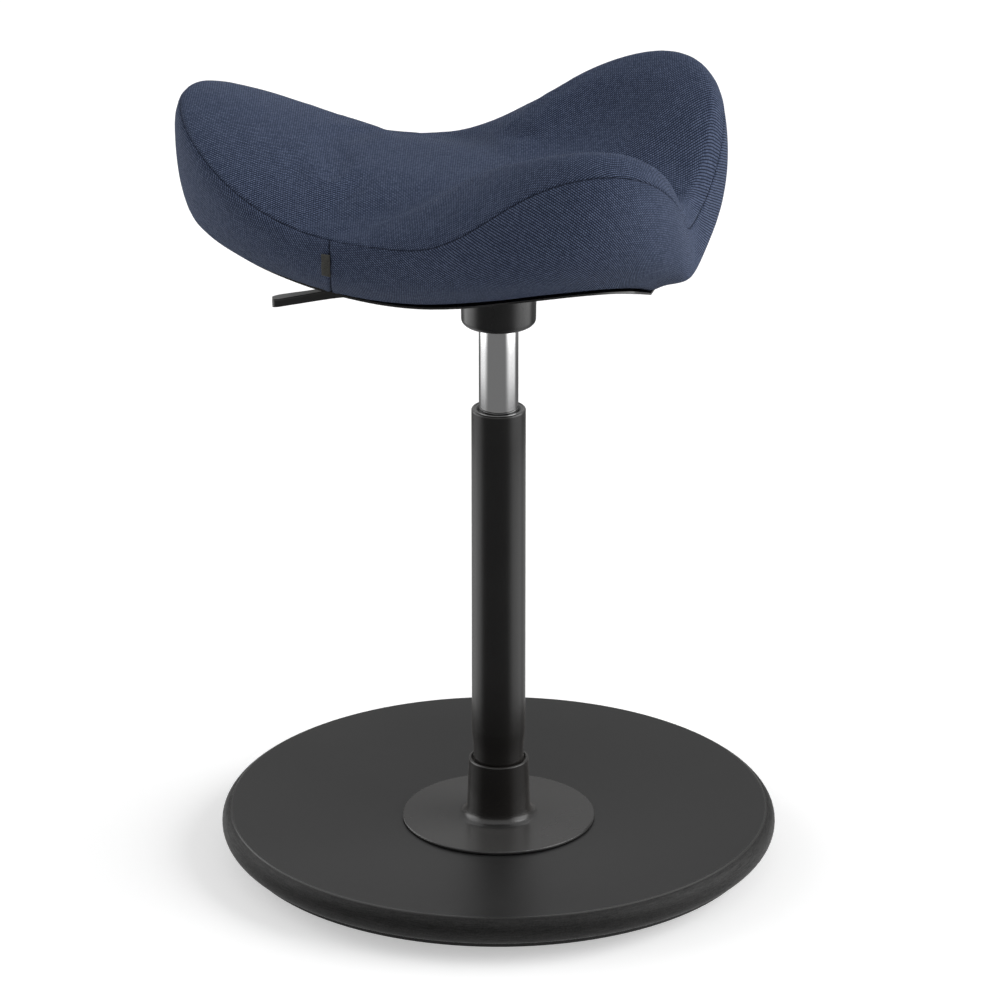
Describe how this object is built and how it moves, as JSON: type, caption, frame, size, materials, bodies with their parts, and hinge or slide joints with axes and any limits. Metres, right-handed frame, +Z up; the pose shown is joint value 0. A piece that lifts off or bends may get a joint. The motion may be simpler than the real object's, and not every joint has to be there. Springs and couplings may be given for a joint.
{
  "type": "perch stool",
  "caption": "Perch stool with an upholstered three-lobed saddle seat on a gas lift column and a round, dished, slightly rocking base.",
  "frame": {"origin": "on the column's axis at the floor, in the middle of the flat face under the base", "axes": "+Z up the column, the seat's nose along -Y, its two rear lobes towards +Y, the release lever leans towards +X"},
  "size_m": [0.472, 0.5091, 0.6765],
  "materials": {
    "black_wood": "satin stained laminate",
    "black_rubber": "matte",
    "black_steel": "satin powder coat",
    "zinc_steel": "zinc plated",
    "black_plastic": "satin moulded",
    "chrome": "polished",
    "brass": "machined",
    "aluminium": "machined",
    "navy_fabric": "woven upholstery"
  },
  "bodies": {
    "base": {"base_disc": "black_wood", "foot_pad": "black_rubber", "base_flange": "black_steel", "flange_bolts": "zinc_steel", "flange_washers": "zinc_steel", "flange_nuts": "zinc_steel", "stand_tube": "black_steel", "tube_end_plate": "zinc_steel", "guide_bush": "black_plastic", "lower_race": "zinc_steel"},
    "bearing": {"ball_cage": "brass", "bearing_balls": "zinc_steel"},
    "rod": {"upper_race": "zinc_steel", "rod_washer": "zinc_steel", "rubber_buffer": "black_rubber", "clip_washer": "zinc_steel", "retaining_clip": "zinc_steel", "piston_rod": "chrome", "piston": "aluminium", "piston_ring": "black_rubber"},
    "seat": {"gas_cylinder": "chrome", "rod_guide": "black_plastic", "rod_seal": "black_rubber", "bypass_tube": "zinc_steel", "valve_body": "brass", "cone_socket": "zinc_steel", "mounting_plate": "black_steel", "lever_bracket": "black_steel", "pivot_pin": "zinc_steel", "cover_cup": "black_plastic", "plate_screws": "zinc_steel", "tee_nuts": "zinc_steel", "seat_shell": "black_plastic", "seat_cushion": "navy_fabric"},
    "lever": {"lever_arm": "zinc_steel", "lever_handle": "black_plastic"},
    "release": {"release_button": "zinc_steel"}
  },
  "joints": [
    {"name": "seat_swivel", "type": "hinge", "parent": "base", "child": "rod", "pos_m": [0, 0, 0.02], "axis": [0, 0, 1], "continuous": true},
    {"name": "bearing_turn", "type": "hinge", "parent": "base", "child": "bearing", "pos_m": [0, 0, 0.02], "axis": [0, 0, 1], "continuous": true},
    {"name": "seat_lift", "type": "slide", "parent": "rod", "child": "seat", "axis": [0, 0, 1], "range_m": [-0.055, 0.145]},
    {"name": "lever_pull", "type": "hinge", "parent": "seat", "child": "lever", "pos_m": [0.00773, -0.02378, 0.5035], "axis": [-0.9511, -0.309, 0], "range_deg": [0, 7], "stiffness_Nm_per_rad": 8, "springref_deg": -14.32},
    {"name": "release_press", "type": "slide", "parent": "seat", "child": "release", "axis": [0, 0, -1], "range_m": [0, 0.0034]}
  ],
  "couplings": [
    {"joint": "bearing_turn", "follows": "seat_swivel", "ratio": 0.5},
    {"joint": "release_press", "follows": "lever_pull", "m_per_rad": 0.0255}
  ]
}
